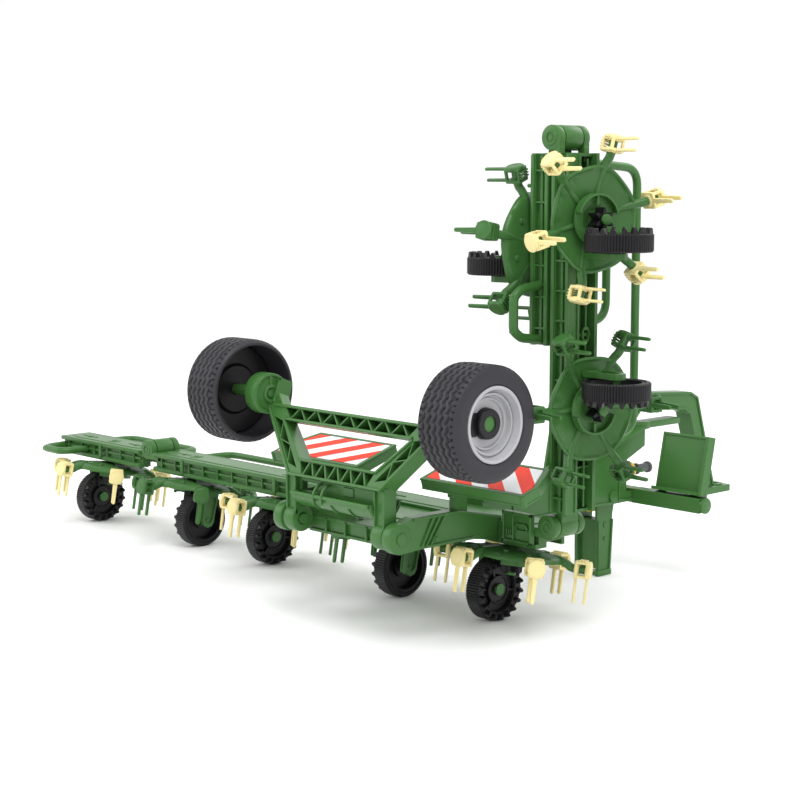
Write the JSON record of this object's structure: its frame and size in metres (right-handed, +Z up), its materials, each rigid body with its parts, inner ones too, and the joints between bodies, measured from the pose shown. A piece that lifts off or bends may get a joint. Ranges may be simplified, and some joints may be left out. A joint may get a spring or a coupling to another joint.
{
  "type": "toy hay tedder",
  "caption": "Toy trailed hay tedder: wheel-driven tined rotors under a folding beam, one wing down and one folded up, with a swing-down transport axle.",
  "frame": {"origin": "middle of the footprint box, at ground level, as the toy stands with its left wing down", "axes": "+X to the machine's right, +Y to its front (towards the hitch), +Z up"},
  "size_m": [0.372, 0.2486, 0.1872],
  "materials": {
    "frame_green": "mid green, satin to gloss",
    "panel_green": "mid green, gloss",
    "rotor_green": "green dish and arms",
    "rotor_cream": "green dish and arms with pale yellow tine holders and tines",
    "shaft_yellow": "bright yellow",
    "shaft_grey": "dark grey, matte",
    "black_plastic": "black, matte",
    "tyre_plastic": "dark grey, hard plastic tyre",
    "rim_silver": "silver grey, satin",
    "board_white": "white with red diagonal stripes"
  },
  "bodies": {
    "frame": {"centre_frame": "frame_green", "drawbar": "frame_green", "left_front_panel": "panel_green", "right_front_panel": "panel_green", "left_board_tray": "panel_green", "right_board_tray": "panel_green", "left_warning_board": "board_white", "right_warning_board": "board_white", "drive_shaft": "shaft_grey", "rear_shaft_bell": "shaft_yellow", "front_shaft_bell": "shaft_yellow"},
    "parking_stand": {"parking_stand": "frame_green"},
    "swing_frame": {"swing_frame": "frame_green"},
    "left_transport_wheel": {"left_transport_tyre": "tyre_plastic", "left_transport_rim": "rim_silver"},
    "left_inner_wing": {"left_inner_beam": "frame_green", "left_inner_guard": "frame_green"},
    "left_outer_wing": {"left_outer_beam": "frame_green", "left_outer_guard": "frame_green"},
    "right_transport_wheel": {"right_transport_tyre": "tyre_plastic", "right_transport_rim": "rim_silver"},
    "right_inner_wing": {"right_inner_beam": "frame_green", "right_inner_guard": "frame_green"},
    "right_outer_wing": {"right_outer_beam": "frame_green", "right_outer_guard": "frame_green"},
    "rotor_1": {"rotor_1": "rotor_cream", "pinion_1": "black_plastic"},
    "rotor_wheel_1": {"rotor_wheel_1": "black_plastic"},
    "rotor_2": {"rotor_2": "rotor_green", "pinion_2": "black_plastic"},
    "rotor_wheel_2": {"rotor_wheel_2": "black_plastic"},
    "rotor_3": {"rotor_3": "rotor_cream", "pinion_3": "black_plastic"},
    "rotor_wheel_3": {"rotor_wheel_3": "black_plastic"},
    "rotor_4": {"rotor_4": "rotor_green", "pinion_4": "black_plastic"},
    "rotor_wheel_4": {"rotor_wheel_4": "black_plastic"},
    "rotor_5": {"rotor_5": "rotor_cream", "pinion_5": "black_plastic"},
    "rotor_wheel_5": {"rotor_wheel_5": "black_plastic"},
    "rotor_6": {"rotor_6": "rotor_green", "pinion_6": "black_plastic"},
    "rotor_wheel_6": {"rotor_wheel_6": "black_plastic"},
    "rotor_7": {"rotor_7": "rotor_cream", "pinion_7": "black_plastic"},
    "rotor_wheel_7": {"rotor_wheel_7": "black_plastic"},
    "rotor_8": {"rotor_8": "rotor_green", "pinion_8": "black_plastic"},
    "rotor_wheel_8": {"rotor_wheel_8": "black_plastic"}
  },
  "joints": [
    {"name": "stand_fold", "type": "hinge", "parent": "frame", "child": "parking_stand", "pos_m": [0.088, 0.03829, 0.034], "axis": [1, 0, 0], "range_deg": [0, 50]},
    {"name": "swing_frame_lower", "type": "hinge", "parent": "frame", "child": "swing_frame", "pos_m": [0.088, -0.10871, 0.04], "axis": [1, 0, 0], "range_deg": [0, 150]},
    {"name": "left_transport_wheel_spin", "type": "hinge", "parent": "swing_frame", "child": "left_transport_wheel", "pos_m": [0.022, -0.10394, 0.08529], "axis": [1, 0, 0], "continuous": true},
    {"name": "right_transport_wheel_spin", "type": "hinge", "parent": "swing_frame", "child": "right_transport_wheel", "pos_m": [0.154, -0.10394, 0.08529], "axis": [1, 0, 0], "continuous": true},
    {"name": "left_inner_fold", "type": "hinge", "parent": "frame", "child": "left_inner_wing", "pos_m": [0.031, -0.05371, 0.041], "axis": [0, 1, 0], "range_deg": [0, 90]},
    {"name": "left_outer_fold", "type": "hinge", "parent": "left_inner_wing", "child": "left_outer_wing", "pos_m": [-0.111, -0.05371, 0.041], "axis": [0, 1, 0], "range_deg": [0, 180]},
    {"name": "right_inner_unfold", "type": "hinge", "parent": "frame", "child": "right_inner_wing", "pos_m": [0.145, -0.05371, 0.041], "axis": [0, 1, 0], "range_deg": [0, 90]},
    {"name": "right_outer_unfold", "type": "hinge", "parent": "right_inner_wing", "child": "right_outer_wing", "pos_m": [0.145, -0.05371, 0.183], "axis": [0, 1, 0], "range_deg": [0, 180]},
    {"name": "rotor_1_spin", "type": "hinge", "parent": "left_outer_wing", "child": "rotor_1", "pos_m": [-0.15, -0.05201, 0.02185], "axis": [0, 0.1736, 0.9848], "continuous": true},
    {"name": "rotor_wheel_1_spin", "type": "hinge", "parent": "left_outer_wing", "child": "rotor_wheel_1", "pos_m": [-0.1579, -0.05371, 0.01221], "axis": [1, 0, 0], "continuous": true},
    {"name": "rotor_2_spin", "type": "hinge", "parent": "left_inner_wing", "child": "rotor_2", "pos_m": [-0.082, -0.05201, 0.02185], "axis": [0, 0.1736, 0.9848], "continuous": true},
    {"name": "rotor_wheel_2_spin", "type": "hinge", "parent": "left_inner_wing", "child": "rotor_wheel_2", "pos_m": [-0.0741, -0.05371, 0.01221], "axis": [1, 0, 0], "continuous": true},
    {"name": "rotor_3_spin", "type": "hinge", "parent": "left_inner_wing", "child": "rotor_3", "pos_m": [-0.014, -0.05201, 0.02185], "axis": [0, 0.1736, 0.9848], "continuous": true},
    {"name": "rotor_wheel_3_spin", "type": "hinge", "parent": "left_inner_wing", "child": "rotor_wheel_3", "pos_m": [-0.0219, -0.05371, 0.01221], "axis": [1, 0, 0], "continuous": true},
    {"name": "rotor_4_spin", "type": "hinge", "parent": "frame", "child": "rotor_4", "pos_m": [0.054, -0.05201, 0.02185], "axis": [0, 0.1736, 0.9848], "continuous": true},
    {"name": "rotor_wheel_4_spin", "type": "hinge", "parent": "frame", "child": "rotor_wheel_4", "pos_m": [0.0619, -0.05371, 0.01221], "axis": [1, 0, 0], "continuous": true},
    {"name": "rotor_5_spin", "type": "hinge", "parent": "frame", "child": "rotor_5", "pos_m": [0.122, -0.05201, 0.02185], "axis": [0, 0.1736, 0.9848], "continuous": true},
    {"name": "rotor_wheel_5_spin", "type": "hinge", "parent": "frame", "child": "rotor_wheel_5", "pos_m": [0.1141, -0.05371, 0.01221], "axis": [1, 0, 0], "continuous": true},
    {"name": "rotor_6_spin", "type": "hinge", "parent": "right_inner_wing", "child": "rotor_6", "pos_m": [0.16415, -0.05201, 0.086], "axis": [-0.9848, 0.1736, 0], "continuous": true},
    {"name": "rotor_wheel_6_spin", "type": "hinge", "parent": "right_inner_wing", "child": "rotor_wheel_6", "pos_m": [0.17379, -0.05371, 0.0939], "axis": [0, 0, 1], "continuous": true},
    {"name": "rotor_7_spin", "type": "hinge", "parent": "right_inner_wing", "child": "rotor_7", "pos_m": [0.16415, -0.05201, 0.154], "axis": [-0.9848, 0.1736, 0], "continuous": true},
    {"name": "rotor_wheel_7_spin", "type": "hinge", "parent": "right_inner_wing", "child": "rotor_wheel_7", "pos_m": [0.17379, -0.05371, 0.1461], "axis": [0, 0, 1], "continuous": true},
    {"name": "rotor_8_spin", "type": "hinge", "parent": "right_outer_wing", "child": "rotor_8", "pos_m": [0.12585, -0.05201, 0.144], "axis": [0.9848, 0.1736, 0], "continuous": true},
    {"name": "rotor_wheel_8_spin", "type": "hinge", "parent": "right_outer_wing", "child": "rotor_wheel_8", "pos_m": [0.11621, -0.05371, 0.1361], "axis": [0, 0, -1], "continuous": true}
  ],
  "couplings": [
    {"joint": "rotor_wheel_1_spin", "follows": "rotor_1_spin", "ratio": 0.33333},
    {"joint": "rotor_wheel_2_spin", "follows": "rotor_2_spin", "ratio": -0.33333},
    {"joint": "rotor_wheel_3_spin", "follows": "rotor_3_spin", "ratio": 0.33333},
    {"joint": "rotor_wheel_4_spin", "follows": "rotor_4_spin", "ratio": -0.33333},
    {"joint": "rotor_wheel_5_spin", "follows": "rotor_5_spin", "ratio": 0.33333},
    {"joint": "rotor_wheel_6_spin", "follows": "rotor_6_spin", "ratio": -0.33333},
    {"joint": "rotor_wheel_7_spin", "follows": "rotor_7_spin", "ratio": 0.33333},
    {"joint": "rotor_wheel_8_spin", "follows": "rotor_8_spin", "ratio": -0.33333}
  ]
}
